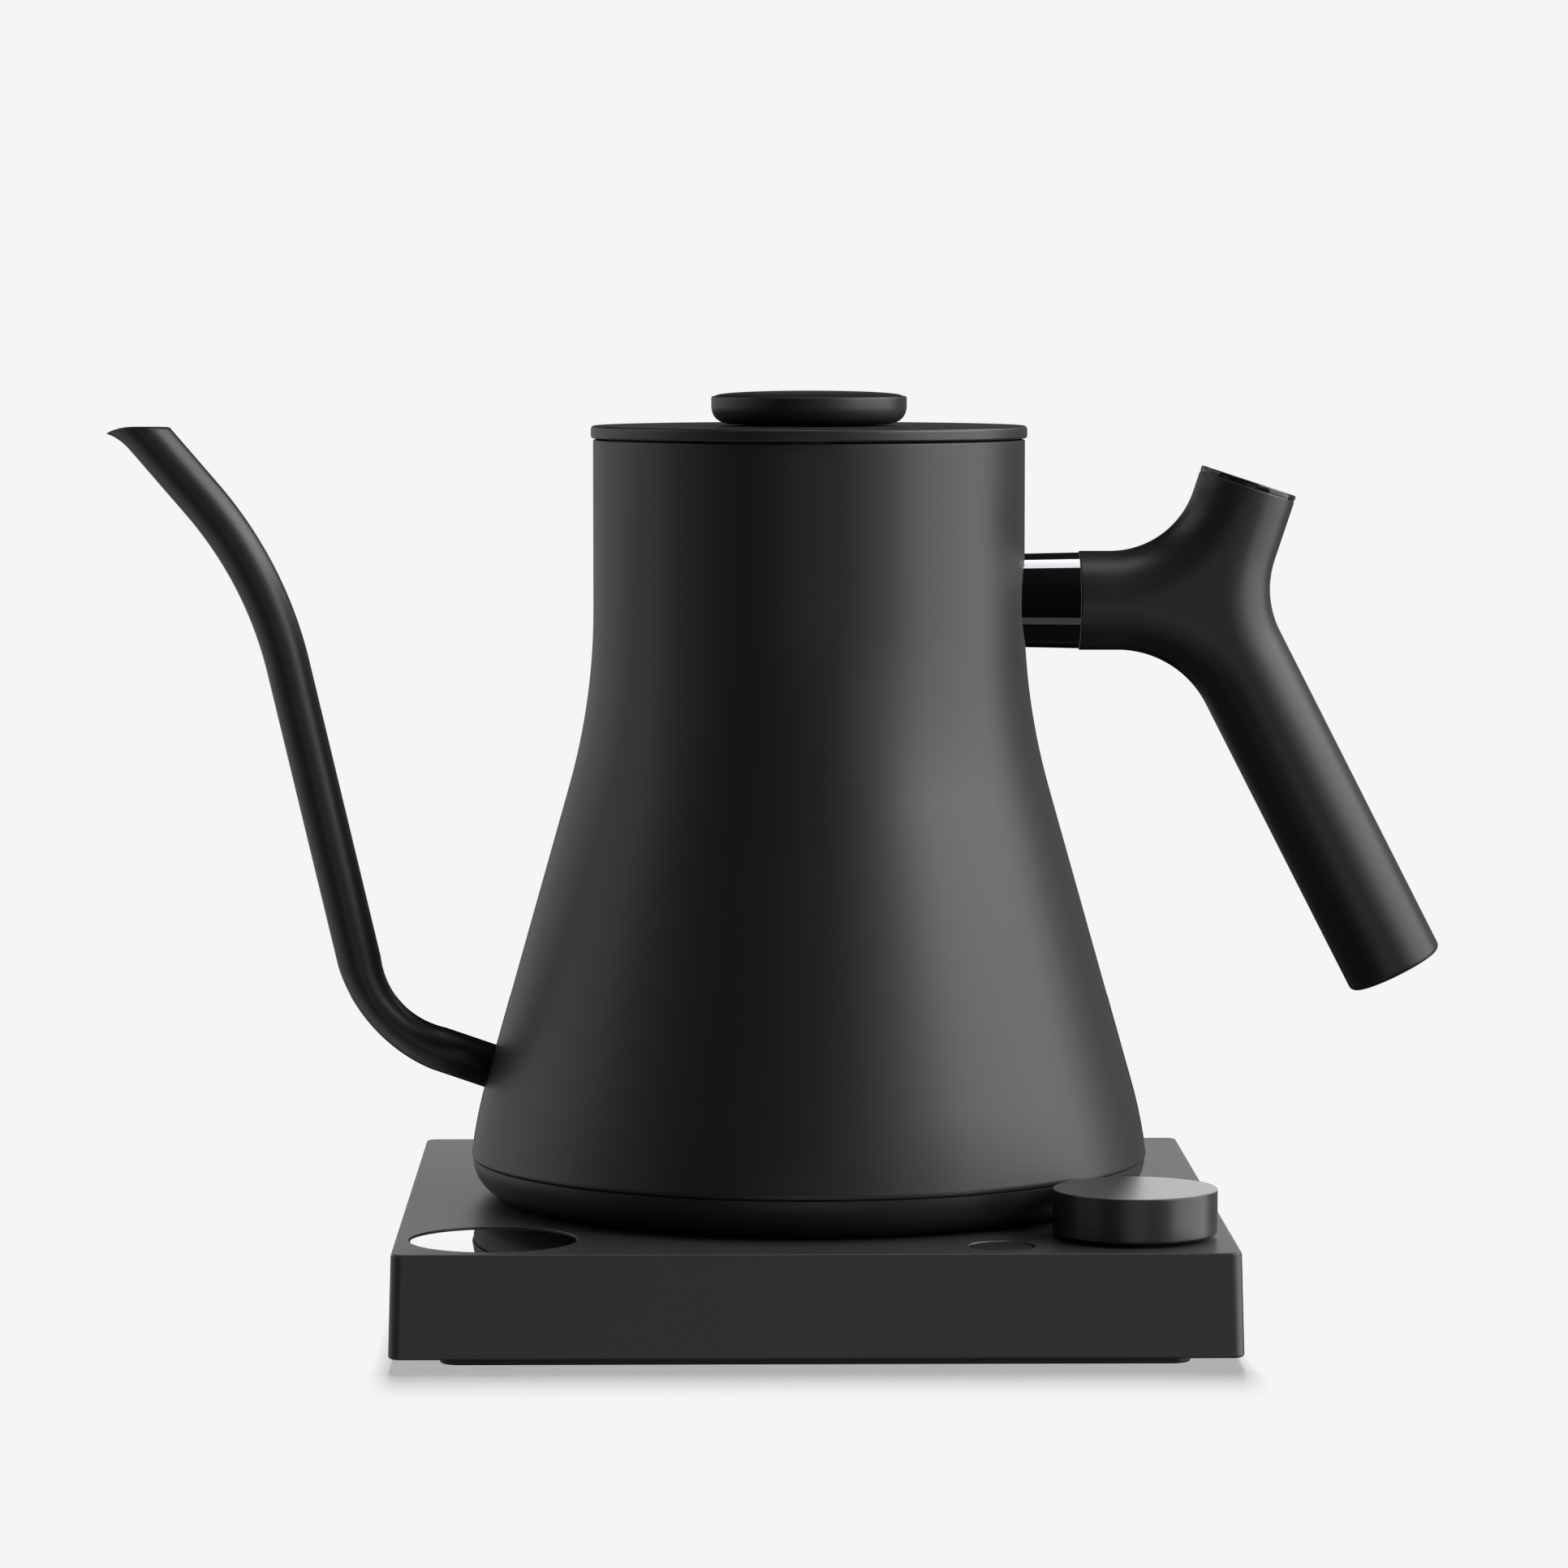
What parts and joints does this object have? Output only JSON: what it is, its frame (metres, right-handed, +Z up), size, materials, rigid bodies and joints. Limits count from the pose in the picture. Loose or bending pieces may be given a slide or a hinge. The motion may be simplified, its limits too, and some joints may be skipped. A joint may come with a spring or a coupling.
{
  "type": "electric kettle",
  "caption": "Electric gooseneck kettle with a flat lid and a forked pistol-grip handle, lifting off a square cordless base with a round display and a dial.",
  "frame": {"origin": "middle of the underside of the base, on the surface it stands on; the kettle's axis rises from it", "axes": "+Z up, +X towards the handle, -X towards the spout, -Y towards the user side with the display and dial"},
  "size_m": [0.2896, 0.1787, 0.1992],
  "materials": {
    "body_coat": "fine matte black powder coat",
    "handle_plastic": "smooth matte black",
    "gloss_cap": "polished black",
    "black_chrome": "polished black",
    "base_plastic": "very fine matte texture",
    "black_plastic": "matte black",
    "dial_metal": "satin dark grey",
    "dark_glass": "glossy black window",
    "silicone": "matte",
    "bare_steel": "brushed",
    "cast_aluminium": "as cast",
    "brass_contact": "bright",
    "circuit_board": "solder resist",
    "component_plastic": "moulded case"
  },
  "bodies": {
    "base": {"base_housing": "base_plastic", "base_bottom_cover": "black_plastic", "foot_pad": "silicone", "base_screw_1": "bare_steel", "base_screw_2": "bare_steel", "base_screw_3": "bare_steel", "base_screw_4": "bare_steel", "display_window": "dark_glass", "display_panel": "component_plastic", "display_carrier": "black_plastic", "front_board": "circuit_board", "encoder_body": "component_plastic", "tact_switch": "component_plastic", "rear_board": "circuit_board", "relay": "component_plastic", "transformer": "component_plastic", "capacitor": "component_plastic", "base_connector": "black_plastic", "connector_sleeve": "brass_contact", "cord_gland": "silicone"},
    "coupling": {"kettle_coupler": "black_plastic", "coupler_pin": "brass_contact", "coupler_ring": "brass_contact"},
    "kettle": {"kettle_shell": "body_coat", "spout_tube": "body_coat", "vessel_floor": "bare_steel", "heat_spreader": "cast_aluminium", "heating_element": "bare_steel", "cutout_switch": "component_plastic", "temperature_probe": "bare_steel", "probe_seal": "silicone", "shell_gasket": "silicone", "kettle_base_cover": "black_plastic", "kettle_screw_1": "bare_steel", "kettle_screw_2": "bare_steel", "kettle_screw_3": "bare_steel", "handle_connector": "black_chrome", "handle_grip": "handle_plastic", "handle_cap": "gloss_cap", "handle_weight": "bare_steel", "handle_screw": "bare_steel"},
    "lid": {"lid_disc": "body_coat", "lid_skirt": "black_plastic", "lid_seal": "silicone", "lid_liner": "bare_steel", "lid_pull": "handle_plastic", "lid_pull_screw": "bare_steel"},
    "encoder_rotor": {"encoder_rotor": "black_plastic"},
    "dial": {"dial_shaft": "cast_aluminium", "dial_knob": "dial_metal"},
    "menu_button": {"menu_button": "black_plastic"}
  },
  "joints": [
    {"name": "kettle_lift", "type": "slide", "parent": "base", "child": "coupling", "axis": [0, 0, 1], "range_m": [0, 0.09]},
    {"name": "kettle_turn", "type": "hinge", "parent": "coupling", "child": "kettle", "pos_m": [0, 0, 0], "axis": [0, 0, 1], "continuous": true},
    {"name": "lid_lift", "type": "slide", "parent": "kettle", "child": "lid", "axis": [0, 0, 1], "range_m": [0, 0.08]},
    {"name": "dial_turn", "type": "hinge", "parent": "base", "child": "encoder_rotor", "pos_m": [0.0666, -0.0643, 0.03], "axis": [0, 0, 1], "continuous": true},
    {"name": "dial_press", "type": "slide", "parent": "encoder_rotor", "child": "dial", "axis": [0, 0, -1], "range_m": [0, 0.0005], "stiffness_N_per_m": 800, "springref_m": -0.001},
    {"name": "button_press", "type": "slide", "parent": "base", "child": "menu_button", "axis": [0, 0, -1], "range_m": [0, 0.0004], "stiffness_N_per_m": 400, "springref_m": -0.001}
  ]
}
